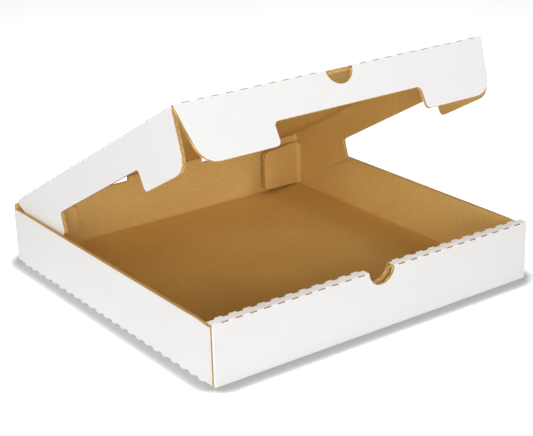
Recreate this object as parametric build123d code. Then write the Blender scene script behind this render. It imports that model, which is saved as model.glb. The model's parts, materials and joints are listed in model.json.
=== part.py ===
from build123d import *
import os

# Board
board = 3.0              # thickness of the corrugated board
play = 0.25              # free space between layers that lie against each other
fold_round = 2.8         # outside rounding of a fold
slit_pitch = 12.7        # slit scores: a cut and a bridge, half an inch
slit_length = 6.35       # the cut, where both outer liners stand out to a sharp corner
slit_mouth = 0.5         # bevel along the cut's open mouth
slit_margin = 7.5        # least distance from a row's last slit to the fold's end

# Tray
width = 317.5            # outside, left to right
depth = 317.5            # outside, front to back
front_height = 52.0      # rolled-over front wall
side_drop = 2.5          # side walls end this far below the front wall's top
dip_run = 12.0           # side walls dip over this length to pass under the rolled front
trapped_length = 70.0    # front corner flaps held inside the front wall
notch_radius = 12.7      # finger notch in the front wall
roll_slit_start = 17.5   # first slit in the front wall's top folds, from the middle
tab_start = 48.0         # lock tabs, from the middle
tab_width = 57.6
vent_start = 41.0        # vent slots in the back wall, from the middle
vent_width = 60.0
vent_height = 4.7
back_inset = 2.5         # back wall's ends, in from the side walls' outer faces

# Rear corner flaps
corner_length = 51.0
corner_drop = 2.0        # below the side walls' top
corner_rise = 6.0        # lower edge rises this much to the free end
corner_round = 6.0
corner_left = 22.0       # sprung open, degrees off the back wall
corner_right = 12.0

# Lid
lid_open = 29.0          # degrees, as it stands
lid_over = 1.3           # closed lid's underside above the front wall's top
lid_front_gap = 4.2      # closed front flap to the front wall's inner face
lid_side_gap = 0.85      # closed side flaps to the side walls, at the hinge
lid_taper = 4.9          # each side comes in this much from hinge to front
flap_floor_gap = 5.8     # closed flaps end this far above the floor
cutaway = 29.0           # edge of the flaps' cut-away middle below the lid's top
front_tab_cut = 72.0     # half length of the front flap's cut-away
front_inset = 10.0       # front flap's ends slant in by this
front_corner = 18.0
moon_radius = 13.0       # half-moon finger hole in the front flap
lid_slit_start = 21.6    # first slit in the lid's front fold, from the middle
lid_side_start = 18.0    # first slit in the lid's side folds, from the hinge
side_front_tab = 76.0    # side flap's front tab, from the lid's front
side_rear_tab = 79.0     # side flap's rear tab, from the back of the box
side_rear_lean = 3.5     # its front edge slants back by this
side_front_clear = 0.9   # side flap's front edge to the front flap's inner face
side_slant = 8.0         # side flap's front edge slants back by this
side_rear_edge = 5.4     # side flap's rear edge, from the back of the box
side_chamfer_top = 5.0   # chamfer at the rear, from this depth
side_chamfer_run = 32.0
side_corner = 16.0
step_round = 4.0

# Levels and faces that follow
side_height = front_height - side_drop
lid_under = front_height + lid_over
lid_top = lid_under + board
hinge_y = depth / 2 - board / 2
hinge_z = lid_under + board / 2
back_height = lid_under - play
y_layer = -depth / 2 + board + play
roll_in = y_layer + 2 * board + play
y_back = depth / 2 - board
y_wall_end = y_back - play
flap_depth = lid_top - board - flap_floor_gap
lid_front = roll_in + lid_front_gap
lid_length = depth / 2 - lid_front
rear_half = width / 2 - board - lid_side_gap
front_half = rear_half - lid_taper


def fitted(run):
    """How many slits fit along a run of fold that ends in one margin."""
    return int((run - slit_margin - slit_length) / slit_pitch) + 1


roll_slits = fitted(width / 2 - roll_slit_start)               # to each side of the front wall's middle
wall_slits = fitted(y_wall_end - y_layer - slit_margin)        # along each side wall's bottom fold
lid_slits = fitted(front_half - lid_slit_start)                # to each side of the lid's middle
lid_side_slits = fitted(lid_length - lid_side_start)


def sheet(plane, corners):
    """One layer of board, drawn as corners (x, y, radius) on a plane's outer face."""
    points = [(x, y) for x, y, r in corners]
    outline = FilletPolyline(*points, radius=[r for x, y, r in corners], close=True)
    return extrude(plane * make_face(outline), -board)


def block(x0, x1, y0, y1, z0, z1):
    return Pos((x0 + x1) / 2, (y0 + y1) / 2, (z0 + z1) / 2) * Box(x1 - x0, y1 - y0, z1 - z0)


def along_x(profile, length):
    """A profile in (y, z, radius) drawn out along X, equal to both sides."""
    points = [(y, z) for y, z, r in profile]
    outline = FilletPolyline(*points, radius=[r for y, z, r in profile], close=True)
    return extrude(Plane.YZ * make_face(outline), length / 2, both=True)


def slit(corner, arm_a, arm_b, along, reach=fold_round):
    """Lips of one slit, from corner on: they fill the rounded fold out to its sharp corner."""
    start = Vector(*corner)
    arm_a = Vector(*arm_a)
    arm_b = Vector(*arm_b)
    lips = Polyline(start + arm_a * reach, start + arm_a * slit_mouth, start + arm_b * slit_mouth,
                    start + arm_b * reach, close=True)
    return extrude(make_face(lips), slit_length, dir=along)


def both_sides(first, count):
    """Where slits start along X, the same to both sides of the middle."""
    right = [first + slit_pitch * k for k in range(count)]
    return right + [-start - slit_length for start in right]


# Floor and side walls
half = width / 2
trough_outline = [
    (-half, 0, fold_round), (half, 0, fold_round), (half, side_height, 0),
    (half - board, side_height, 0), (half - board, board, 0), (board - half, board, 0),
    (board - half, side_height, 0), (-half, side_height, 0)]
trough_line = FilletPolyline(
    *[(x, z) for x, z, r in trough_outline], radius=[r for x, z, r in trough_outline], close=True)
tray = extrude(Plane.XZ.offset(-y_wall_end) * make_face(trough_line), y_wall_end - y_layer)
dip_top = front_height - board - play
tray -= along_x([
    (y_layer - 1, dip_top, 0), (roll_in + play, dip_top, 0),
    (roll_in + play + dip_run, side_height, 0), (roll_in + play + dip_run, side_height + 9, 0),
    (y_layer - 1, side_height + 9, 0)], width + 2)

# Back wall with its vent slots
tray += along_x([
    (y_wall_end, 0, 0), (depth / 2, 0, fold_round), (depth / 2, back_height, 0), (y_back, back_height, 0),
    (y_back, board, 0), (y_wall_end, board, 0)], width - 2 * back_inset)
for side in (-1, 1):
    vent_foot = back_height - vent_height
    vent = block(vent_start, vent_start + vent_width, y_back - 1, depth / 2 + 1, vent_foot, lid_top)
    tray -= vent if side > 0 else mirror(vent, about=Plane.YZ)

# Front wall: outer panel and top strip, inner panel, trapped corner flaps
tray += along_x([
    (-depth / 2, 0, fold_round), (y_layer, 0, 0), (y_layer, board, 0), (board - depth / 2, board, 0),
    (board - depth / 2, front_height - board, 0), (roll_in, front_height - board, 0),
    (roll_in, front_height, fold_round), (-depth / 2, front_height, fold_round)], width)
inner_half = half - board - play
tray += block(-inner_half, inner_half, roll_in - board, roll_in, board, front_height - board)
for side in (-1, 1):
    trapped = block(half - trapped_length, half, y_layer, y_layer + board, board + play, dip_top)
    tab_end = tab_start + tab_width
    slot = block(tab_start - play, tab_end + play, roll_in - board - play, roll_in + play, 0, board)
    tab = block(tab_start, tab_end, roll_in - board, roll_in, play, board)
    if side < 0:
        trapped = mirror(trapped, about=Plane.YZ)
        slot = mirror(slot, about=Plane.YZ)
        tab = mirror(tab, about=Plane.YZ)
    tray += trapped
    tray -= slot
    tray += tab
tray -= Pos(0, roll_in, front_height) * Rot(90, 0, 0) * Cylinder(notch_radius, 8 * board)

# Slit scores: the front wall's two top folds and the side walls' bottom folds
lips = []
for x in both_sides(roll_slit_start, roll_slits):
    lips.append(slit((x, -depth / 2, front_height), (0, 1, 0), (0, 0, -1), (1, 0, 0)))
    lips.append(slit((x, roll_in, front_height), (0, -1, 0), (0, 0, -1), (1, 0, 0)))
wall_row = slit_pitch * (wall_slits - 1) + slit_length
for k in range(wall_slits):
    y = slit_pitch * k - wall_row / 2
    lips.append(slit((half, y, 0), (-1, 0, 0), (0, 0, 1), (0, 1, 0)))
    lips.append(slit((-half, y, 0), (1, 0, 0), (0, 0, 1), (0, 1, 0)))
tray += lips

# Lid panel, with a rounded rear edge that turns in the hinge fold
panel_end = lid_front + board + play
end_half = rear_half - lid_taper * (depth / 2 - panel_end) / lid_length
panel_line = Polyline((-rear_half, hinge_y), (-end_half, panel_end), (end_half, panel_end),
                      (rear_half, hinge_y), close=True)
lid = extrude(Plane.XY.offset(lid_under) * make_face(panel_line), board)
lid = fillet(lid.faces().sort_by(Axis.Z)[-1].edges().filter_by(Axis.X, reverse=True), fold_round)
lid += Pos(0, hinge_y, hinge_z) * Rot(0, 90, 0) * Cylinder(board / 2, 2 * rear_half)

# Lid's front flap
front_flap = sheet(Plane(origin=(0, lid_front, lid_top), x_dir=(1, 0, 0), z_dir=(0, -1, 0)), [
    (-front_half, -board / 2, 0), (-front_half + front_inset, -flap_depth, front_corner),
    (-front_tab_cut, -flap_depth, step_round), (-front_tab_cut, -cutaway, step_round),
    (front_tab_cut, -cutaway, step_round), (front_tab_cut, -flap_depth, step_round),
    (front_half - front_inset, -flap_depth, front_corner), (front_half, -board / 2, 0)])
front_flap += Pos(0, lid_front + board / 2, hinge_z) * Rot(0, 90, 0) * Cylinder(board / 2, 2 * front_half)
front_flap -= Pos(0, lid_front, lid_top) * Rot(90, 0, 0) * Cylinder(moon_radius, 4 * board)

# Lid's side flaps, under the panel's edges
fold_run = (lid_taper ** 2 + lid_length ** 2) ** 0.5
fold_dir = Vector(-lid_taper / fold_run, -lid_length / fold_run, 0)
fold_out = Vector(lid_length / fold_run, -lid_taper / fold_run, 0)
fold_start = Vector(rear_half, depth / 2, lid_top)
side_front = fold_run - board - side_front_clear
front_step = lid_length - side_front_tab
flap_root = board + play
right_flap = sheet(Plane(origin=fold_start, x_dir=fold_dir, z_dir=fold_out), [
    (side_rear_edge, flap_root, 0), (side_front, flap_root, 0),
    (side_front - side_slant, flap_depth, side_corner),
    (front_step, flap_depth, step_round), (front_step, cutaway, step_round),
    (side_rear_tab, cutaway, step_round), (side_rear_tab - side_rear_lean, flap_depth, step_round),
    (side_rear_edge + side_chamfer_run, flap_depth, step_round),
    (side_rear_edge, side_chamfer_top, step_round)])
left_flap = mirror(right_flap, about=Plane.YZ)

# Slit scores in the lid's folds
lips = []
for k in range(lid_side_slits):
    corner = fold_start + fold_dir * (lid_side_start + slit_pitch * k)
    lip = slit(corner, -fold_out, (0, 0, -1), fold_dir)
    lips += [lip, mirror(lip, about=Plane.YZ)]
lid += lips
front_flap += [slit((x, lid_front, lid_top), (0, 1, 0), (0, 0, -1), (1, 0, 0), reach=board / 2)
               for x in both_sides(lid_slit_start, lid_slits)]

# Rear corner flaps, first flat against the back wall
corner_y = y_wall_end - board
corner_x = half - board - play
corner_top = side_height - corner_drop
right_corner = sheet(Plane(origin=(corner_x, corner_y, 0), x_dir=(-1, 0, 0), z_dir=(0, -1, 0)), [
    (0, -board - play, 0), (corner_length, -board - play - corner_rise, step_round),
    (corner_length, -corner_top, corner_round), (0, -corner_top, corner_round)])
left_corner = mirror(right_corner, about=Plane.YZ)

# As it stands: lid raised, corner flaps sprung off the back wall
hinge = Axis((0, hinge_y, hinge_z), (-1, 0, 0))
right_corner = right_corner.rotate(Axis((corner_x, corner_y, 0), (0, 0, 1)), corner_right)
left_corner = left_corner.rotate(Axis((-corner_x, corner_y, 0), (0, 0, -1)), corner_left)

pieces = {
    "tray": tray,
    "lid": lid.rotate(hinge, lid_open),
    "lid_front_flap": front_flap.rotate(hinge, lid_open),
    "lid_left_flap": left_flap.rotate(hinge, lid_open),
    "lid_right_flap": right_flap.rotate(hinge, lid_open),
    "rear_left_flap": left_corner,
    "rear_right_flap": right_corner,
}
os.makedirs("parts", exist_ok=True)
for name, piece in pieces.items():
    export_step(piece, f"parts/{name}.step")
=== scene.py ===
import json
import math

import bpy
import bmesh
from mathutils import Matrix, Vector
from mathutils.geometry import tessellate_polygon


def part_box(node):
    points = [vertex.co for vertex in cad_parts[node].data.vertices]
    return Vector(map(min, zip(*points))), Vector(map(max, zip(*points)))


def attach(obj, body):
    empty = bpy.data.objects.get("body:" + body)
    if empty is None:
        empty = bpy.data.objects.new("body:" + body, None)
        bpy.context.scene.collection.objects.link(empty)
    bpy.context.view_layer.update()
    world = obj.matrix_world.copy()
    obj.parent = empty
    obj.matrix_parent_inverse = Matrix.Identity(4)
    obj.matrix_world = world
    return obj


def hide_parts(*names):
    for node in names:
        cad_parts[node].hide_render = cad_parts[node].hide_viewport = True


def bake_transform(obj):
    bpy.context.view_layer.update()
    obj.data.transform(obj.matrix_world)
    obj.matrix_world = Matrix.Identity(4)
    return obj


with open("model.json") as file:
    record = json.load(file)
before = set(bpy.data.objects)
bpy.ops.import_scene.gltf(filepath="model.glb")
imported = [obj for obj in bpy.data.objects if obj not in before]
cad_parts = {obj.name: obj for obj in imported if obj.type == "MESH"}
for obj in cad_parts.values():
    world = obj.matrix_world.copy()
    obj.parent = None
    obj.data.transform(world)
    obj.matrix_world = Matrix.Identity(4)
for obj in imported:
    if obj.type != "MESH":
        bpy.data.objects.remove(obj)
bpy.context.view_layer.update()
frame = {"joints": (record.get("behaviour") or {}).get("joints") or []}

# Sizes in millimetres. Outer sizes, hinge places and standing angles come from the frame.
MM = 0.001
BOARD = 3.0             # board, liner to liner
LINER = 0.4             # each liner, drawn a little heavier than paper so that it shows at a cut edge
MEDIUM = 0.3            # fluted medium between the liners
FLUTE = 6.5             # flute pitch of B-flute board
FLUTE_STEPS = 8         # straight steps in one flute
PLAY = 0.25             # free space between layers
FOLD = 2.8              # outside rounding of a fold
CUT_SHY = 0.15          # the medium stands this far back from a cut edge
CRUSH = 0.5             # the die crushes the flutes shut this far in from a cut edge
ARC_STEPS = 6
SHARP = 35.0            # edges that turn more than this many degrees stay sharp
ROLL_EDGE = 1.2         # front fold of the rolled wall, pressed sharper than the others
END_PRESS = 1.2         # rounding that the die presses into the front wall's upright ends

tray_low, tray_high = (Vector(corner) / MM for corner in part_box("tray"))
HALF = tray_high.x
DEPTH = tray_high.y - tray_low.y
BACK_TOP = tray_high.z
joints = {joint["name"]: joint for joint in frame["joints"]}
hinge_at = Vector(joints["lid_hinge"]["pos_m"]) / MM
HINGE_Y, HINGE_Z = hinge_at.y, hinge_at.z
LID_OPEN = -joints["lid_hinge"]["range_deg"][0]
LID_TOP = HINGE_Z + BOARD / 2
LID_UNDER = HINGE_Z - BOARD / 2

FRONT_TOP = 52.0
SIDE_TOP = 49.5
DIP_RUN = 12.0          # side walls dip to pass under the rolled front
TRAPPED = 70.0          # front corner flaps inside the rolled front
NOTCH = 12.7            # finger notch radius
TAB_START, TAB_WIDTH = 48.0, 57.6
VENT_START, VENT_WIDTH, VENT_HEIGHT = 41.0, 60.0, 4.7
BACK_INSET = 2.5        # back wall's ends, in from the side walls' outer faces

LID_FRONT_GAP = 4.2
LID_SIDE_GAP = 0.85
LID_TAPER = 4.9
FLAP_FLOOR_GAP = 5.8    # closed flaps end this far above the floor
FLAP_DEPTH = LID_TOP - BOARD - FLAP_FLOOR_GAP
CUTAWAY = 29.0
FRONT_TAB_CUT = 72.0
FRONT_INSET = 10.0
FRONT_CORNER = 18.0
MOON = 13.0             # half-moon finger hole radius
SIDE_FRONT_TAB, SIDE_REAR_TAB, SIDE_REAR_LEAN = 76.0, 79.0, 3.5
SIDE_CLEAR, SIDE_SLANT = 0.9, 8.0
SIDE_REAR_EDGE, SIDE_CHAMFER_TOP, SIDE_CHAMFER_RUN = 5.4, 5.0, 32.0
SIDE_CORNER = 16.0
STEP_ROUND = 4.0
CORNER_LENGTH, CORNER_DROP, CORNER_RISE, CORNER_ROUND = 51.0, 2.0, 6.0, 6.0
CORNER_STRIP = 3.0      # rounding inside the fold to a rear corner flap
CREASE = 0.5            # ridge along each of its creases
CREASE_WALL = 0.9       # its wall, as a share of it
CREASE_LEAN = 0.2       # its sides lean out by this slope
RIDGE = 1.2             # ridge that the kraft liner makes inside a bottom fold
RIDGE_WALL = 0.8        # its wall, as a share of it
HINGE_RIDGE, HINGE_RIDGE_WALL = 0.9, 0.7    # the same inside the lid's back fold
SIDE_FOLD_START = 4.0   # the lid's side folds start this far from its back
RIDGE_CLEAR = 12.0      # the ridges end this far from a rear corner flap's fold

SLIT_PITCH, SLIT_LENGTH = 12.7, 6.35
SLIT_MOUTH = 0.7        # open mouth of a slit, along each panel
SLIT_LIP = 0.05         # lip of a slit that opens on one panel only
UNEVEN = 0.03           # slits differ in size by this share
SLIT_GROOVE = 0.25      # depth of the mouth, as a share of the fold's rounding
ROLL_SLIT_START, ROLL_SLITS = 17.5, 11
WALL_SLITS = 23
LID_SLIT_START, LID_SLITS = 21.6, 10
LID_SIDE_START, LID_SIDE_SLITS = 18.0, 22

FRONT_Y = -DEPTH / 2
BACK_Y = DEPTH / 2
LAYER_Y = FRONT_Y + BOARD + PLAY
ROLL_Y = LAYER_Y + 2 * BOARD + PLAY
WALL_END_Y = BACK_Y - BOARD - PLAY
DIP_TOP = FRONT_TOP - BOARD - PLAY
LID_FRONT_Y = ROLL_Y + LID_FRONT_GAP
LID_LENGTH = BACK_Y - LID_FRONT_Y
REAR_HALF = HALF - BOARD - LID_SIDE_GAP
FRONT_HALF = REAR_HALF - LID_TAPER
PANEL_END_Y = LID_FRONT_Y + BOARD + PLAY

X, Y, Z = Vector((1, 0, 0)), Vector((0, 1, 0)), Vector((0, 0, 1))
WHITE, KRAFT, FLUTED, CUT = 0, 1, 2, 3


# Materials

STREAK_RUN, FLECK_RUN = 0.25, 0.45    # streaks and flecks are drawn out across the flutes
CLOUD, CLOUD_SHARE = 60.0, 0.35       # broad clouding of the paper, mm, and its share of the tone
SHINE_SPREAD = 0.04                   # roughness varies by this much


def linear(hex_colour):
    """An sRGB hex colour as linear RGBA."""
    channels = [int(hex_colour[i:i + 2], 16) / 255 for i in (1, 3, 5)]
    return [c / 12.92 if c <= 0.04045 else ((c + 0.055) / 1.055) ** 2.4 for c in channels] + [1.0]


def node(tree, kind, inputs=None, **settings):
    """Adds a node, sets it and links or fills its inputs."""
    added = tree.nodes.new(kind)
    for name, value in settings.items():
        setattr(added, name, value)
    for name, value in (inputs or {}).items():
        if isinstance(value, bpy.types.NodeSocket):
            tree.links.new(value, added.inputs[name])
        else:
            added.inputs[name].default_value = value
    return added


def new_material(name):
    material = bpy.data.materials.new(name)
    material.use_nodes = True
    material.node_tree.nodes.clear()
    return material, material.node_tree


def liner_material(name, colours, streak_mm, fleck_mm, fleck_share, fleck_colour, roughness,
                   washboard_mm, grain_mm):
    """Paper liner on fluted board: faint streaks along the paper's run, flecks of fibre, and the flutes
    showing through as a washboard. The map's first axis runs across the flutes, in metres."""
    material, tree = new_material(name)
    place = node(tree, "ShaderNodeUVMap", uv_map="board")
    across = node(tree, "ShaderNodeSeparateXYZ", {"Vector": place.outputs["UV"]})
    stretched = node(tree, "ShaderNodeMapping", {
        "Vector": place.outputs["UV"], "Scale": (STREAK_RUN, 1.0, 1.0)})
    streaks = node(tree, "ShaderNodeTexNoise", {
        "Vector": stretched.outputs["Vector"], "Scale": 1 / (streak_mm * MM), "Detail": 6.0,
        "Roughness": 0.62})
    clouds = node(tree, "ShaderNodeTexNoise", {
        "Vector": place.outputs["UV"], "Scale": 1 / (CLOUD * MM), "Detail": 2.0})
    tone = node(tree, "ShaderNodeMix", {0: CLOUD_SHARE, 2: streaks.outputs["Fac"], 3: clouds.outputs["Fac"]})
    ramp = node(tree, "ShaderNodeValToRGB", {"Fac": tone.outputs[0]})
    ramp.color_ramp.elements[0].position = 0.36
    ramp.color_ramp.elements[1].position = 0.64
    ramp.color_ramp.elements[0].color = linear(colours[0])
    ramp.color_ramp.elements[1].color = linear(colours[2])
    ramp.color_ramp.elements.new(0.5).color = linear(colours[1])
    fleck_place = node(tree, "ShaderNodeMapping", {
        "Vector": place.outputs["UV"], "Scale": (FLECK_RUN, 1.0, 1.0)})
    flecks = node(tree, "ShaderNodeTexNoise", {
        "Vector": fleck_place.outputs["Vector"], "Scale": 1 / (fleck_mm * MM), "Detail": 2.0})
    fleck_mask = node(tree, "ShaderNodeMapRange", {
        "Value": flecks.outputs["Fac"], "From Min": 0.62, "From Max": 0.72, "To Min": 0.0,
        "To Max": fleck_share})
    colour = node(tree, "ShaderNodeMix", {
        "Factor": fleck_mask.outputs["Result"], 6: ramp.outputs["Color"], 7: linear(fleck_colour)},
        data_type="RGBA")
    turns = node(tree, "ShaderNodeMath", {0: across.outputs["X"], 1: 2 * math.pi / (FLUTE * MM)},
                 operation="MULTIPLY")
    wave = node(tree, "ShaderNodeMath", {0: turns.outputs["Value"]}, operation="SINE")
    washboard = node(tree, "ShaderNodeBump", {
        "Height": wave.outputs["Value"], "Distance": washboard_mm * MM, "Strength": 1.0})
    grain = node(tree, "ShaderNodeBump", {
        "Height": streaks.outputs["Fac"], "Distance": grain_mm * MM, "Strength": 1.0,
        "Normal": washboard.outputs["Normal"]})
    shine = node(tree, "ShaderNodeMapRange", {
        "Value": streaks.outputs["Fac"], "To Min": roughness - SHINE_SPREAD,
        "To Max": roughness + SHINE_SPREAD})
    surface = node(tree, "ShaderNodeBsdfPrincipled", {
        "Base Color": colour.outputs[2], "Roughness": shine.outputs["Result"], "IOR": 1.5,
        "Specular IOR Level": 0.25, "Normal": grain.outputs["Normal"]})
    node(tree, "ShaderNodeOutputMaterial", {"Surface": surface.outputs["BSDF"]})
    return material


def cut_material(name, dark, light, speck_mm, roughness):
    """Bare paper fibre where the board is cut or its fluted medium shows: matt, uneven, no sheen."""
    material, tree = new_material(name)
    place = node(tree, "ShaderNodeTexCoord")
    specks = node(tree, "ShaderNodeTexNoise", {
        "Vector": place.outputs["Object"], "Scale": 1 / (speck_mm * MM), "Detail": 4.0})
    colour = node(tree, "ShaderNodeMix", {
        "Factor": specks.outputs["Fac"], 6: linear(dark), 7: linear(light)}, data_type="RGBA")
    bump = node(tree, "ShaderNodeBump", {
        "Height": specks.outputs["Fac"], "Distance": 0.1 * MM, "Strength": 0.5})
    surface = node(tree, "ShaderNodeBsdfPrincipled", {
        "Base Color": colour.outputs[2], "Roughness": roughness, "IOR": 1.5, "Specular IOR Level": 0.1,
        "Normal": bump.outputs["Normal"]})
    node(tree, "ShaderNodeOutputMaterial", {"Surface": surface.outputs["BSDF"]})
    return material


# Bleached kraft liner: white, smooth and matt. Kraft liner: unbleached brown paper with faint fibre.
white_liner = liner_material("bleached_kraft_liner", ("#f0efee", "#f1f0ef", "#f2f1f0"), 3.0, 1.6, 0.03,
                             "#dedbd6", 0.62, 0.005, 0.003)
kraft_liner = liner_material("unbleached_kraft_liner", ("#dfba71", "#e5c178", "#ebc87f"), 2.2, 1.2, 0.2,
                             "#c09858", 0.72, 0.02, 0.012)
fluted_medium = cut_material("fluted_medium_paper", "#966a38", "#bd9058", 0.8, 0.9)
cut_board = cut_material("cut_board_edge", "#d6b06a", "#efd098", 0.7, 0.88)
FINISHES = [white_liner, kraft_liner, fluted_medium, cut_board]


# Board

class Stock:
    """Board gathered for one piece: points, faces, each face's finish, each point's place on the liner."""

    def __init__(self):
        self.points, self.places, self.faces, self.finish, self.smooth = [], [], [], [], []

    def add(self, points, places, faces, finishes, smooth=False):
        first = len(self.points)
        self.points += points
        self.places += places
        self.faces += [[first + i for i in face] for face in faces]
        self.finish += finishes
        self.smooth += [smooth] * len(faces)

    def piece(self, name):
        mesh = bpy.data.meshes.new(name)
        mesh.from_pydata([p * MM for p in self.points], [], self.faces)
        for material in FINISHES:
            mesh.materials.append(material)
        mesh.polygons.foreach_set("material_index", self.finish)
        mesh.polygons.foreach_set("use_smooth", self.smooth)
        layer = mesh.uv_layers.new(name="board")
        for corner in mesh.loops:
            u, v = self.places[corner.vertex_index]
            layer.data[corner.index].uv = (u * MM, v * MM)
        shell = bmesh.new()
        shell.from_mesh(mesh)
        bmesh.ops.recalc_face_normals(shell, faces=shell.faces)
        shell.to_mesh(mesh)
        shell.free()
        mesh.set_sharp_from_angle(angle=math.radians(SHARP))
        made = bpy.data.objects.new(name, mesh)
        bpy.context.scene.collection.objects.link(made)
        return made


def panel(origin, across, along, out, turn=None):
    """Where a panel lies: across and along its flutes, and out of its outer face."""
    place = Matrix((across, along, out)).transposed().to_4x4()
    place.translation = origin
    return turn @ place if turn else place


def rounded(corners):
    """An outline of (u, v, radius) corners as points, with each round corner as an arc."""
    points = []
    for i, (u, v, radius) in enumerate(corners):
        here = Vector((u, v))
        if not radius:
            points.append((u, v))
            continue
        before = (Vector(corners[i - 1][:2]) - here).normalized()
        after = (Vector(corners[(i + 1) % len(corners)][:2]) - here).normalized()
        half_angle = before.angle(after) / 2
        middle = here + (before + after).normalized() * radius / math.sin(half_angle)
        start = here + before * radius / math.tan(half_angle) - middle
        turn = (here + after * radius / math.tan(half_angle) - middle).angle_signed(start)
        for step in range(ARC_STEPS + 1):
            spot = middle + Matrix.Rotation(turn * step / ARC_STEPS, 2) @ start
            points.append((spot.x, spot.y))
    return points


def bite(middle, radius, reach, turn_from, turn_to, steps=24):
    """Points on an arc, angles in degrees, from turn_from to turn_to."""
    spots = []
    for step in range(steps + 1):
        angle = math.radians(turn_from + (turn_to - turn_from) * step / steps)
        spots.append((middle + radius * math.cos(angle), reach + radius * math.sin(angle)))
    return spots


def add_liner(stock, place, loops, top, bottom, top_finish, bottom_finish):
    """One liner: the outline (with any holes) from height top to bottom above the panel's outer face."""
    flat = [Vector((u, v, 0)) for loop in loops for u, v in loop]
    fill = tessellate_polygon([[Vector((u, v, 0)) for u, v in loop] for loop in loops])
    count = len(flat)
    points = [place @ Vector((p.x, p.y, height)) for height in (top, bottom) for p in flat]
    faces = [list(tri) for tri in fill] + [[i + count for i in reversed(tri)] for tri in fill]
    finishes = [top_finish] * len(fill) + [bottom_finish] * len(fill)
    first = 0
    for loop in loops:
        for i in range(len(loop)):
            a, b = first + i, first + (i + 1) % len(loop)
            faces.append([a, b, b + count, a + count])
            finishes.append(CUT)
        first += len(loop)
    stock.add(points, [(p.x, p.y) for p in flat] * 2, faces, finishes)


def spans(loops, u):
    """Stretches (low, high) along the flutes that lie inside the outline at u."""
    crossings = []
    for loop in loops:
        for (u0, v0), (u1, v1) in zip(loop, loop[1:] + loop[:1]):
            if (u0 <= u) != (u1 <= u):
                crossings.append(v0 + (v1 - v0) * (u - u0) / (u1 - u0))
    crossings.sort()
    return list(zip(crossings[::2], crossings[1::2]))


def add_medium(stock, place, loops):
    """The fluted medium: a wave across u, drawn out along v and trimmed to the outline."""
    outline = [point for loop in loops for point in loop]
    low, high = min(p[0] for p in outline) + CUT_SHY, max(p[0] for p in outline) - CUT_SHY
    step = FLUTE / FLUTE_STEPS
    hair = 0.001
    stations = [step * k for k in range(math.ceil(low / step), math.floor(high / step) + 1)]
    stations += [low, high] + [p[0] + side for p in outline for side in (-hair, hair)]
    stations = sorted(u for u in set(stations) if low <= u <= high)
    swing = BOARD / 2 - LINER - MEDIUM / 2
    for u0, u1 in zip(stations, stations[1:]):
        if u1 - u0 < 3 * hair:
            continue
        first, second = spans(loops, u0), spans(loops, u1)
        if len(first) != len(second):
            continue
        heights = [-BOARD / 2 + swing * math.cos(2 * math.pi * u / FLUTE) for u in (u0, u1)]
        for (low0, high0), (low1, high1) in zip(first, second):
            if min(high0 - low0, high1 - low1) < 2 * CUT_SHY + hair:
                continue
            rim = [(u0, low0 + CUT_SHY, heights[0]), (u1, low1 + CUT_SHY, heights[1]),
                   (u1, high1 - CUT_SHY, heights[1]), (u0, high0 - CUT_SHY, heights[0])]
            points = [place @ Vector((u, v, w + MEDIUM / 2)) for u, v, w in rim]
            points += [place @ Vector((u, v, w - MEDIUM / 2)) for u, v, w in rim]
            faces = [[0, 1, 2, 3], [7, 6, 5, 4], [0, 4, 5, 1], [2, 6, 7, 3]]
            stock.add(points, [(u, v) for u, v, w in rim] * 2, faces, [FLUTED] * 4)


def add_crush(stock, place, loops):
    """The flutes crushed shut along a cut edge: a wall between the liners, a little in from the outline."""
    for number, loop in enumerate(loops):
        area = sum(a[0] * b[1] - b[0] * a[1] for a, b in zip(loop, loop[1:] + loop[:1]))
        inward = CRUSH if (area > 0) == (number == 0) else -CRUSH
        rim = []
        for i, spot in enumerate(loop):
            here = Vector(spot)
            before = (here - Vector(loop[i - 1])).normalized().orthogonal()
            after = (Vector(loop[(i + 1) % len(loop)]) - here).normalized().orthogonal()
            rim.append(here + (before + after) * inward / (1 + before.dot(after)))
        count = len(rim)
        points = [place @ Vector((p.x, p.y, -LINER)) for p in rim]
        points += [place @ Vector((p.x, p.y, LINER - BOARD)) for p in rim]
        faces = [[i, (i + 1) % count, (i + 1) % count + count, i + count] for i in range(count)]
        stock.add(points, [(p.x, p.y) for p in rim] * 2, faces, [CUT] * count)


def add_board(stock, place, loops):
    """One panel of board: white liner outside, fluted medium, kraft liner inside."""
    add_liner(stock, place, loops, 0, -LINER, WHITE, KRAFT)
    add_liner(stock, place, loops, LINER - BOARD, -BOARD, KRAFT, KRAFT)
    add_medium(stock, place, loops)
    add_crush(stock, place, loops)


def add_bend(stock, start, run, from_out, to_out, radius, thick=LINER, outer=WHITE, inner=KRAFT):
    """A liner bent round a fold's centre line, from one outward direction to the other."""
    from_out, to_out = from_out.normalized(), to_out.normalized()
    axis = from_out.cross(to_out).normalized()
    sweep = from_out.angle(to_out)
    points, places, faces, finishes = [], [], [], []
    for step in range(ARC_STEPS + 1):
        out = Matrix.Rotation(sweep * step / ARC_STEPS, 3, axis) @ from_out
        for end in (0, 1):
            for depth in (radius, radius - thick):
                points.append(start + run * end + out * depth)
                places.append((radius * sweep * step / ARC_STEPS, run.length * end))
    for step in range(ARC_STEPS):
        a, b = 4 * step, 4 * step + 4
        faces += [[a, b, b + 2, a + 2], [a + 1, a + 3, b + 3, b + 1], [a, a + 1, b + 1, b],
                  [a + 2, b + 2, b + 3, a + 3]]
        finishes += [outer, inner, CUT, CUT]
    last = 4 * ARC_STEPS
    faces += [[0, 2, 3, 1], [last, last + 1, last + 3, last + 2]]
    finishes += [inner, inner]
    stock.add(points, places, faces, finishes, smooth=True)


def rectangle(u0, u1, v0, v1):
    return [(u0, v0), (u1, v0), (u1, v1), (u0, v1)]


# Tray

def notch_below(drop):
    """The finger notch's arc, from this far below the front wall's top."""
    angle = math.degrees(math.asin(drop / NOTCH))
    return bite(0, NOTCH, FRONT_TOP, -angle, angle - 180)


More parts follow.
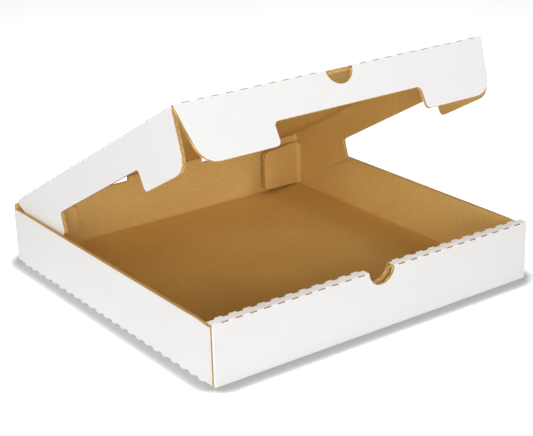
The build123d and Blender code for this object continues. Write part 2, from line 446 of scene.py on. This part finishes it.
def build_tray():
    stock = Stock()
    tabs = [(TAB_START, TAB_START + TAB_WIDTH), (-TAB_START - TAB_WIDTH, -TAB_START)]
    slots = [rectangle(a - PLAY, b + PLAY, ROLL_Y - BOARD - PLAY, ROLL_Y + PLAY) for a, b in tabs]
    floor_rim = rectangle(-HALF + FOLD, HALF - FOLD, FRONT_Y + FOLD, BACK_Y - FOLD)
    add_board(stock, panel(Vector(), X, Y, -Z), [floor_rim] + slots)

    # Side walls: they dip at the front to pass under the roll
    wall_rim = [(FOLD, LAYER_Y), (FOLD, WALL_END_Y), (SIDE_TOP, WALL_END_Y),
                (SIDE_TOP, ROLL_Y + PLAY + DIP_RUN), (DIP_TOP, ROLL_Y + PLAY), (DIP_TOP, LAYER_Y)]
    for side in (-1, 1):
        add_board(stock, panel(X * HALF * side, Z, Y, X * side), [wall_rim])
        add_bend(stock, Vector((side * (HALF - FOLD), LAYER_Y, FOLD)), Y * (WALL_END_Y - LAYER_Y),
                 X * side, -Z, FOLD)
        add_bend(stock, Vector((side * (HALF - BOARD), ROLL_Y, BOARD)),
                 Y * (WALL_END_Y - RIDGE_CLEAR - ROLL_Y), -X * side, Z, RIDGE, thick=RIDGE * RIDGE_WALL,
                 outer=KRAFT)

    # Back wall with its vents
    vent_foot = BACK_TOP - VENT_HEIGHT
    vent_end = VENT_START + VENT_WIDTH
    end = HALF - BACK_INSET
    back_rim = [(-end, FOLD), (end, FOLD), (end, BACK_TOP), (vent_end, BACK_TOP), (vent_end, vent_foot),
                (VENT_START, vent_foot), (VENT_START, BACK_TOP), (-VENT_START, BACK_TOP),
                (-VENT_START, vent_foot), (-vent_end, vent_foot), (-vent_end, BACK_TOP), (-end, BACK_TOP)]
    add_board(stock, panel(Y * BACK_Y, X, Z, Y), [back_rim])
    width = X * 2 * (HALF - FOLD)
    add_bend(stock, Vector((-HALF + FOLD, BACK_Y - FOLD, FOLD)), width, Y, -Z, FOLD)
    inner = HALF - BOARD - PLAY
    ridge = inner - RIDGE_CLEAR
    add_bend(stock, Vector((-ridge, BACK_Y - BOARD, BOARD)), X * 2 * ridge, -Y, Z, RIDGE,
             thick=RIDGE * RIDGE_WALL, outer=KRAFT)

    # Front wall: outer panel, top strip each side of the notch, inner panel with its lock tabs
    front_top, roll_top = FRONT_TOP - ROLL_EDGE, FRONT_TOP - FOLD
    front = panel(Y * FRONT_Y, X, Z, -Y)
    notch = notch_below(ROLL_EDGE)
    pressed, full = ([(-half, FOLD), (half, FOLD), (half, front_top)] + notch + [(-half, front_top)]
                     for half in (HALF - END_PRESS, HALF))
    add_liner(stock, front, [pressed], 0, -LINER, WHITE, KRAFT)
    add_liner(stock, front, [full], LINER - BOARD, -BOARD, KRAFT, KRAFT)
    add_medium(stock, front, [full])
    add_crush(stock, front, [full])
    add_bend(stock, Vector((-HALF + FOLD, FRONT_Y + FOLD, FOLD)), width, -Y, -Z, FOLD)
    for start in (-HALF, HALF - FOLD):
        add_bend(stock, Vector((start, FRONT_Y + FOLD, FOLD)), X * FOLD, -Y, -Z, FOLD, thick=FOLD - LINER)
    tab_rim = []
    for a, b in sorted(tabs, reverse=True):
        tab_rim += [(b, BOARD), (b, PLAY), (a, PLAY), (a, BOARD)]
    inner_rim = [(-inner, BOARD), (-inner, roll_top)] + notch_below(FOLD)[::-1]
    inner_rim += [(inner, roll_top), (inner, BOARD)]
    add_board(stock, panel(Y * ROLL_Y, X, Z, Y), [inner_rim + tab_rim])
    for side in (-1, 1):
        add_bend(stock, Vector((side * (HALF - END_PRESS), FRONT_Y + END_PRESS, FOLD)),
                 Z * (front_top - FOLD), -Y, X * side, END_PRESS)
        start, end = sorted((side * NOTCH, side * HALF))
        strip = rectangle(start, end, FRONT_Y + ROLL_EDGE, ROLL_Y - FOLD)
        add_board(stock, panel(Z * FRONT_TOP, X, Y, Z), [strip])
        run = X * (end - start)
        add_bend(stock, Vector((start, FRONT_Y + ROLL_EDGE, front_top)), run, -Y, Z, ROLL_EDGE)
        add_bend(stock, Vector((start, ROLL_Y - FOLD, roll_top)), run, Y, Z, FOLD)
        # Corner flap trapped between the two panels
        flap = rectangle(BOARD + PLAY, DIP_TOP, HALF - TRAPPED, HALF - FOLD)
        add_board(stock, panel(Y * LAYER_Y, Z, X * side, -Y), [flap])
        add_bend(stock, Vector((side * (HALF - FOLD), LAYER_Y + FOLD, BOARD + PLAY)),
                 Z * (DIP_TOP - BOARD - PLAY), X * side, -Y, FOLD)
    return stock.piece("tray_board")


# Lid, drawn closed and then raised

lid_raise = Matrix.Rotation(-math.radians(LID_OPEN), 4, "X")
lid_turn = Matrix.Translation(hinge_at) @ lid_raise @ Matrix.Translation(-hinge_at)
fold_dir = Vector((-LID_TAPER, -LID_LENGTH, 0)).normalized()
fold_out = Vector((-fold_dir.y, fold_dir.x, 0))
fold_run = math.hypot(LID_TAPER, LID_LENGTH)
fold_start = Vector((REAR_HALF, BACK_Y, LID_TOP))


def mirrored(vector, side):
    return Vector((vector.x * side, vector.y, vector.z))


def lid_half(y):
    """Half width of the tapered lid at y."""
    return REAR_HALF - LID_TAPER * (BACK_Y - y) / LID_LENGTH


def build_lid():
    stock = Stock()
    rim = [(-lid_half(PANEL_END_Y) + FOLD, PANEL_END_Y), (lid_half(PANEL_END_Y) - FOLD, PANEL_END_Y),
           (REAR_HALF - FOLD, HINGE_Y), (-REAR_HALF + FOLD, HINGE_Y)]
    add_board(stock, panel(Z * LID_TOP, X, Y, Z, lid_turn), [rim])
    return stock.piece("lid_board")


def build_front_flap():
    stock = Stock()
    root = BOARD / 2
    moon_angle = math.degrees(math.asin(root / MOON))
    moon = bite(0, MOON, 0, -moon_angle, moon_angle - 180)
    ends = rounded([
        (-FRONT_HALF, -root, 0), (-FRONT_HALF + FRONT_INSET, -FLAP_DEPTH, FRONT_CORNER),
        (-FRONT_TAB_CUT, -FLAP_DEPTH, STEP_ROUND), (-FRONT_TAB_CUT, -CUTAWAY, STEP_ROUND),
        (FRONT_TAB_CUT, -CUTAWAY, STEP_ROUND), (FRONT_TAB_CUT, -FLAP_DEPTH, STEP_ROUND),
        (FRONT_HALF - FRONT_INSET, -FLAP_DEPTH, FRONT_CORNER), (FRONT_HALF, -root, 0)])
    add_board(stock, panel(Vector((0, LID_FRONT_Y, LID_TOP)), X, Z, -Y, lid_turn), [ends + moon])
    return stock.piece("lid_front_flap_board")


def side_panel(side):
    """Where a side flap lies, from its fold's rear end."""
    return panel(mirrored(fold_start, side), -Z, mirrored(fold_dir, side), mirrored(fold_out, side),
                 lid_turn)


def build_side_flap(side, name):
    stock = Stock()
    front = fold_run - BOARD - SIDE_CLEAR
    root = BOARD + PLAY
    step = LID_LENGTH - SIDE_FRONT_TAB
    rim = rounded([
        (root, SIDE_REAR_EDGE, 0), (root, front, 0), (FLAP_DEPTH, front - SIDE_SLANT, SIDE_CORNER),
        (FLAP_DEPTH, step, STEP_ROUND), (CUTAWAY, step, STEP_ROUND), (CUTAWAY, SIDE_REAR_TAB, STEP_ROUND),
        (FLAP_DEPTH, SIDE_REAR_TAB - SIDE_REAR_LEAN, STEP_ROUND),
        (FLAP_DEPTH, SIDE_REAR_EDGE + SIDE_CHAMFER_RUN, STEP_ROUND),
        (SIDE_CHAMFER_TOP, SIDE_REAR_EDGE, STEP_ROUND)])
    place = side_panel(side)
    add_board(stock, place, [rim])
    return stock.piece(name)


def corner_pivot(side):
    return Vector((side * (HALF - BOARD - PLAY), WALL_END_Y - BOARD, 0))


def corner_opened(side, fold):
    """How far a rear corner flap has sprung off the back wall."""
    return -math.radians(joints[fold]["range_deg"][0]) * side


def build_rear_flap(side, name, fold):
    stock = Stock()
    pivot, opened = corner_pivot(side), corner_opened(side, fold)
    turn = Matrix.Translation(pivot) @ Matrix.Rotation(opened, 4, "Z") @ Matrix.Translation(-pivot)
    foot, top = BOARD + PLAY, SIDE_TOP - CORNER_DROP
    rim = rounded([(foot, 0, 0), (foot + CORNER_RISE, CORNER_LENGTH, STEP_ROUND),
                   (top, CORNER_LENGTH, CORNER_ROUND), (top, 0, CORNER_ROUND)])
    add_board(stock, panel(pivot + Y * BOARD, Z, X * -side, Y, turn), [rim])
    return stock.piece(name)


# Fold liners where a flap or the lid meets its panel, drawn at their present angles

def turned(vector):
    return lid_turn.to_3x3() @ vector


def build_hinge_fold():
    """The lid's back fold, whole outside between the vents."""
    stock = Stock()
    vent_end = VENT_START + VENT_WIDTH
    end = REAR_HALF - FOLD
    for x0, x1 in ((-end, -vent_end), (-VENT_START, VENT_START), (vent_end, end)):
        add_bend(stock, Vector((x0, HINGE_Y, HINGE_Z)), X * (x1 - x0), Y, turned(Z), BOARD / 2)
        add_bend(stock, Vector((x0, HINGE_Y - BOARD / 2, LID_UNDER)), X * (x1 - x0), -Z, turned(-Y),
                 HINGE_RIDGE, thick=HINGE_RIDGE_WALL, outer=KRAFT)
    return stock.piece("lid_hinge_fold")


def build_front_fold():
    stock = Stock()
    centre_y, centre_z = LID_FRONT_Y + BOARD / 2, HINGE_Z
    for x0, x1 in ((-FRONT_HALF, -MOON), (MOON, FRONT_HALF)):
        start = lid_turn @ Vector((x0, centre_y, centre_z))
        add_bend(stock, start, X * (x1 - x0), turned(-Y), turned(Z), BOARD / 2)
        gap = panel(Vector((0, 0, LID_TOP)), X, Y, Z, lid_turn)
        add_liner(stock, gap, [rectangle(x0, x1, centre_y, PANEL_END_Y)], 0, -LINER, WHITE, KRAFT)
    return stock.piece("lid_front_fold")


def build_side_fold(side, name):
    stock = Stock()
    centre = mirrored(fold_start - fold_out * FOLD - Z * FOLD + fold_dir * SIDE_FOLD_START, side)
    run = mirrored(fold_dir * (fold_run - BOARD - SIDE_FOLD_START), side)
    add_bend(stock, lid_turn @ centre, turned(run), turned(mirrored(fold_out, side)), turned(Z), FOLD)
    edge = rectangle(FOLD, BOARD + PLAY, SIDE_REAR_EDGE, fold_run - BOARD)
    add_liner(stock, side_panel(side), [edge], 0, -LINER, WHITE, KRAFT)
    return stock.piece(name)


def build_corner_fold(side, name, fold):
    """Inside of the fold from a side wall to its rear corner flap: a narrow strip between two creases."""
    stock = Stock()
    pivot, opened = corner_pivot(side), corner_opened(side, fold)
    along_wall = -Y
    along_flap = Matrix.Rotation(opened, 3, "Z") @ (X * -side)
    half_angle = along_wall.angle(along_flap) / 2
    tangent = CORNER_STRIP / math.tan(half_angle)
    middle = pivot + (along_wall + along_flap).normalized() * CORNER_STRIP / math.sin(half_angle)
    foot, top = BOARD + PLAY, SIDE_TOP - CORNER_ROUND + CORNER_DROP
    wall_line, flap_line = pivot + along_wall * tangent, pivot + along_flap * tangent
    rise = Z * (top - foot)
    to_wall, to_flap = (wall_line - middle).normalized(), (flap_line - middle).normalized()
    add_bend(stock, middle + Z * foot, rise, to_wall, to_flap, CORNER_STRIP, thick=-LINER, outer=KRAFT)
    for line, to_line in ((wall_line, to_wall), (flap_line, to_flap)):
        across = Z.cross(to_line)
        add_bend(stock, line + Z * foot, rise, across - to_line * CREASE_LEAN,
                 -across - to_line * CREASE_LEAN, CREASE, thick=CREASE * CREASE_WALL, outer=KRAFT)
    return stock.piece(name), wall_line, flap_line


# Slit scores: rows of short cuts along the folds, with both liners standing out to a sharp corner

def slit_row_tree():
    tree = bpy.data.node_groups.new("slit_row", "GeometryNodeTree")
    sockets = [("One Slit", "NodeSocketGeometry"), ("Count", "NodeSocketInt"), ("First", "NodeSocketVector"),
               ("Step", "NodeSocketVector"), ("Turn", "NodeSocketRotation"),
               ("Unevenness", "NodeSocketFloat"), ("Seed", "NodeSocketInt"),
               ("Liner", "NodeSocketMaterial"), ("Cut", "NodeSocketMaterial")]
    for name, kind in sockets:
        tree.interface.new_socket(name=name, in_out="INPUT", socket_type=kind)
    tree.interface.new_socket(name="Row", in_out="OUTPUT", socket_type="NodeSocketGeometry")
    given = node(tree, "NodeGroupInput").outputs
    line = node(tree, "GeometryNodeMeshLine", {
        "Count": given["Count"], "Start Location": given["First"], "Offset": given["Step"]}, mode="OFFSET")
    less = node(tree, "ShaderNodeMath", {0: 1.0, 1: given["Unevenness"]}, operation="SUBTRACT")
    more = node(tree, "ShaderNodeMath", {0: 1.0, 1: given["Unevenness"]}, operation="ADD")
    size = node(tree, "FunctionNodeRandomValue", {
        "Min": less.outputs["Value"], "Max": more.outputs["Value"], "Seed": given["Seed"]},
        data_type="FLOAT_VECTOR")
    slits = node(tree, "GeometryNodeInstanceOnPoints", {
        "Points": line.outputs["Mesh"], "Instance": given["One Slit"], "Rotation": given["Turn"],
        "Scale": size.outputs["Value"]})
    solid = node(tree, "GeometryNodeRealizeInstances", {"Geometry": slits.outputs["Instances"]})
    lips = node(tree, "GeometryNodeSetMaterial", {
        "Geometry": solid.outputs["Geometry"], "Material": given["Liner"]})
    mouth = node(tree, "GeometryNodeInputNamedAttribute", {"Name": "mouth"}, data_type="BOOLEAN")
    cuts = node(tree, "GeometryNodeSetMaterial", {
        "Geometry": lips.outputs["Geometry"], "Selection": mouth.outputs["Attribute"],
        "Material": given["Cut"]})
    node(tree, "NodeGroupOutput", {"Row": cuts.outputs["Geometry"]})
    return tree


SLIT_ROW = slit_row_tree()


def one_slit(name, reach, mouth):
    """One slit at the origin: cut along x, its corner pointing to +y and +z. Its mouth is a groove
    that reaches this far down the face to +y and in over the face to +z."""
    down, over = mouth
    groove = SLIT_GROOVE * reach
    section = [(0, -reach), (0, -down), (-groove, -groove), (-over, 0), (-reach, 0), (-reach, -reach)]
    count = len(section)
    points = [(end * SLIT_LENGTH / 2 * MM, y * MM, z * MM) for end in (-1, 1) for y, z in section]
    faces = [[i, (i + 1) % count, (i + 1) % count + count, i + count] for i in range(count)]
    faces += [list(range(count))[::-1], list(range(count, 2 * count))]
    mesh = bpy.data.meshes.new(name)
    mesh.from_pydata(points, [], faces)
    flags = mesh.attributes.new("mouth", "BOOLEAN", "FACE")
    flags.data.foreach_set("value", [i in (1, 2) for i in range(len(faces))])
    mesh.uv_layers.new(name="board")
    made = bpy.data.objects.new(name, mesh)
    bpy.context.scene.collection.objects.link(made)
    return made


def slit_row(name, corner, along, out_a, out_b, count, seed, reach=FOLD, mouth=(SLIT_MOUTH, SLIT_MOUTH)):
    """A row of slits from the middle of its first one, on a fold between panels facing out_a and out_b."""
    row = one_slit(name, reach, mouth)
    run = out_a.cross(out_b)
    settings = {"Count": count, "First": corner * MM, "Step": along * SLIT_PITCH * MM,
                "Turn": Matrix((run, out_a, out_b)).transposed().to_euler(), "Unevenness": UNEVEN,
                "Seed": seed, "Liner": white_liner, "Cut": fluted_medium}
    modifier = row.modifiers.new("slit_row", "NODES")
    modifier.node_group = SLIT_ROW
    for item in SLIT_ROW.interface.items_tree:
        if item.in_out == "INPUT" and item.name in settings:
            modifier[item.identifier] = settings[item.name]
    return row


def finished(rows, name):
    """Rows of one body turned to plain mesh and joined."""
    view = bpy.context.evaluated_depsgraph_get()
    whole = bmesh.new()
    materials = [white_liner, fluted_medium]
    for row in rows:
        mesh = bpy.data.meshes.new_from_object(row.evaluated_get(view))
        order = [materials.index(m) if m in materials else 0 for m in mesh.materials]
        for face in mesh.polygons:
            face.material_index = order[face.material_index]
        whole.from_mesh(mesh)
        bpy.data.meshes.remove(mesh)
        bpy.data.objects.remove(row)
    bmesh.ops.recalc_face_normals(whole, faces=whole.faces)
    joined = bpy.data.meshes.new(name)
    whole.to_mesh(joined)
    whole.free()
    for material in materials:
        joined.materials.append(material)
    made = bpy.data.objects.new(name, joined)
    bpy.context.scene.collection.objects.link(made)
    return made


def build_tray_slits():
    rows = []
    middle = SLIT_LENGTH / 2
    for side in (-1, 1):
        for y, out, reach, mouth in ((FRONT_Y, -Y, ROLL_EDGE, (SLIT_MOUTH, SLIT_MOUTH)),
                                     (ROLL_Y, Y, FOLD, (2 * SLIT_MOUTH, SLIT_LIP))):
            first = Vector((side * (ROLL_SLIT_START + middle), y, FRONT_TOP))
            rows.append(slit_row("roll_slits", first, X * side, out, Z, ROLL_SLITS, 11 + len(rows), reach,
                                 mouth))
        first = Vector((side * HALF, -SLIT_PITCH * (WALL_SLITS - 1) / 2, 0))
        rows.append(slit_row("wall_slits", first, Y, X * side, -Z, WALL_SLITS, 11 + len(rows),
                             mouth=(SLIT_LIP, 2 * SLIT_MOUTH)))
    return finished(rows, "tray_slit_scores")


def build_lid_slits():
    rows = []
    for side in (-1, 1):
        first = fold_start + fold_dir * (LID_SIDE_START + SLIT_LENGTH / 2)
        rows.append(slit_row("lid_side_slits", lid_turn @ mirrored(first, side),
                             turned(mirrored(fold_dir, side)), turned(mirrored(fold_out, side)), turned(Z),
                             LID_SIDE_SLITS, 31 + side, mouth=(SLIT_LIP, 2 * SLIT_MOUTH)))
    return finished(rows, "lid_side_slit_scores")


def build_front_slits():
    rows = []
    for side in (-1, 1):
        first = Vector((side * (LID_SLIT_START + SLIT_LENGTH / 2), LID_FRONT_Y, LID_TOP))
        rows.append(slit_row("lid_front_slits", lid_turn @ first, X * side, turned(-Y), turned(Z), LID_SLITS,
                             41 + side, reach=BOARD / 2))
    return finished(rows, "lid_front_slit_scores")


# Put together

def settle(piece, body, *nodes):
    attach(piece, body)
    if nodes:
        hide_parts(*nodes)


def settle_fold(piece):
    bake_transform(piece)


bpy.context.view_layer.update()
settle(build_tray(), "tray", "tray")
settle(build_tray_slits(), "tray")
settle(build_lid(), "lid", "lid")
settle(build_lid_slits(), "lid")
settle(build_front_flap(), "lid_front_flap", "lid_front_flap")
settle(build_front_slits(), "lid_front_flap")
settle(build_side_flap(-1, "lid_left_flap_board"), "lid_left_flap", "lid_left_flap")
settle(build_side_flap(1, "lid_right_flap_board"), "lid_right_flap", "lid_right_flap")
for side, name in ((-1, "rear_left"), (1, "rear_right")):
    fold = name + "_fold"
    settle(build_rear_flap(side, name + "_flap_board", fold), name + "_flap", name + "_flap")
    strip, wall_line, flap_line = build_corner_fold(side, name + "_fold_strip", fold)
    settle_fold(strip)

settle_fold(build_hinge_fold())
settle_fold(build_front_fold())
for side, name in ((-1, "lid_left_flap"), (1, "lid_right_flap")):
    settle_fold(build_side_fold(side, name.replace("flap", "fold")))


# Studio: pale floor with a painted contact shadow, even soft light, camera

FLOOR_SIZE = 8.0        # metres
CONTACT_REACH = 0.02    # the painted contact shadow reaches this far, metres
FLOOR_LIFT = 0.66       # brings the open floor to white in the picture
WORLD_LIGHT = 0.05


def build_floor():
    bpy.ops.mesh.primitive_plane_add(size=FLOOR_SIZE, location=(0, 0, 0))
    floor = bpy.context.active_object
    floor.name = "studio_floor"
    material, tree = new_material("pale_studio_floor")
    seen = node(tree, "ShaderNodeLightPath").outputs["Is Camera Ray"]
    unseen = node(tree, "ShaderNodeMath", {0: 1.0, 1: seen}, operation="SUBTRACT")
    # Painted contact shadow: ambient occlusion near the box darkens the floor's colour and its lift from
    # #f4f4f4 towards #9a9a9a, in camera rays only
    near = node(tree, "ShaderNodeAmbientOcclusion", {"Distance": CONTACT_REACH}, samples=16)
    contact = node(tree, "ShaderNodeMapRange", {
        "Value": near.outputs["AO"], "From Min": 0.7, "From Max": 1.0}, interpolation_type="SMOOTHSTEP")
    clear = node(tree, "ShaderNodeMath", {0: contact.outputs["Result"], 1: unseen.outputs["Value"]},
                 operation="MAXIMUM")
    painted_contact_shade = node(tree, "ShaderNodeMix", {
        "Factor": clear.outputs["Value"], 6: linear("#9a9a9a"), 7: linear("#f4f4f4")}, data_type="RGBA")
    paint = node(tree, "ShaderNodeBsdfDiffuse", {"Color": painted_contact_shade.outputs[2]})
    lift = node(tree, "ShaderNodeEmission", {"Color": painted_contact_shade.outputs[2], "Strength": FLOOR_LIFT})
    dark = node(tree, "ShaderNodeEmission", {"Color": (0, 0, 0, 1), "Strength": 0.0})
    glow = node(tree, "ShaderNodeMixShader", {
        0: seen, 1: dark.outputs["Emission"], 2: lift.outputs["Emission"]})
    both = node(tree, "ShaderNodeAddShader", {0: paint.outputs["BSDF"], 1: glow.outputs["Shader"]})
    node(tree, "ShaderNodeOutputMaterial", {"Surface": both.outputs["Shader"]})
    floor.data.materials.append(material)


def build_world():
    world = bpy.data.worlds.new("studio")
    bpy.context.scene.world = world
    world.use_nodes = True
    tree = world.node_tree
    tree.nodes.clear()
    rays = node(tree, "ShaderNodeLightPath").outputs
    seen = node(tree, "ShaderNodeMath", {0: rays["Is Camera Ray"], 1: rays["Is Glossy Ray"]},
                operation="MAXIMUM")
    seen = node(tree, "ShaderNodeMath", {0: seen.outputs["Value"], 1: rays["Is Transmission Ray"]},
                operation="MAXIMUM")
    light = node(tree, "ShaderNodeBackground", {"Color": (1, 1, 1, 1), "Strength": WORLD_LIGHT})
    white = node(tree, "ShaderNodeBackground", {"Color": (1, 1, 1, 1), "Strength": 1.0})
    both = node(tree, "ShaderNodeMixShader", {
        0: seen.outputs["Value"], 1: light.outputs["Background"], 2: white.outputs["Background"]})
    node(tree, "ShaderNodeOutputWorld", {"Surface": both.outputs["Shader"]})


def build_lamp(name, place, target, size, watts):
    data = bpy.data.lights.new(name, "AREA")
    data.shape = "SQUARE"
    data.size = size
    data.energy = watts
    lamp = bpy.data.objects.new(name, data)
    lamp.location = place
    lamp.rotation_euler = (Vector(target) - Vector(place)).to_track_quat("-Z", "Y").to_euler()
    bpy.context.scene.collection.objects.link(lamp)


CAMERA_AZIMUTH, CAMERA_RISE, CAMERA_ROLL = -35.46, 21.08, -1.63
CAMERA_AIM = (-37.33, -125.10)   # the front left bottom corner seen from the view's middle, mm
CAMERA_FAR = 1010.29             # camera to that corner along the view, mm
SENSOR = 36.0                    # mm
LENS = 1390.66 / 533 * SENSOR    # focal length in photo widths, on that sensor


def build_camera():
    azimuth, rise, roll = (math.radians(a) for a in (CAMERA_AZIMUTH, CAMERA_RISE, CAMERA_ROLL))
    back = Vector((math.sin(azimuth) * math.cos(rise), -math.cos(azimuth) * math.cos(rise), math.sin(rise)))
    level = (-back).cross(Z).normalized()
    upright = level.cross(-back)
    right = level * math.cos(roll) + upright * math.sin(roll)
    up = upright * math.cos(roll) - level * math.sin(roll)
    data = bpy.data.cameras.new("camera")
    data.sensor_width = SENSOR
    data.lens = LENS
    camera = bpy.data.objects.new("camera", data)
    corner = Vector((-HALF, FRONT_Y, 0))
    place = corner - right * CAMERA_AIM[0] - up * CAMERA_AIM[1] + back * CAMERA_FAR
    turn = Matrix((right, up, back)).transposed().to_4x4()
    camera.matrix_world = Matrix.Translation(place * MM) @ turn
    bpy.context.scene.collection.objects.link(camera)
    bpy.context.scene.camera = camera


build_floor()
build_world()
build_lamp("front_softbox", (-0.9, -1.73, 0.47), (0, 0, 0.05), 0.6, 16.2)
build_lamp("left_softbox", (-1.93, -0.17, 0.53), (0, 0, 0.05), 0.6, 11.2)
build_lamp("right_softbox", (1.05, -1.5, 0.86), (0, 0, 0.05), 0.6, 7.2)
build_lamp("top_softbox", (-0.2, 0.12, 1.7), (0, 0, 0), 0.8, 16.8)
build_camera()
bpy.context.scene.view_settings.view_transform = "Standard"
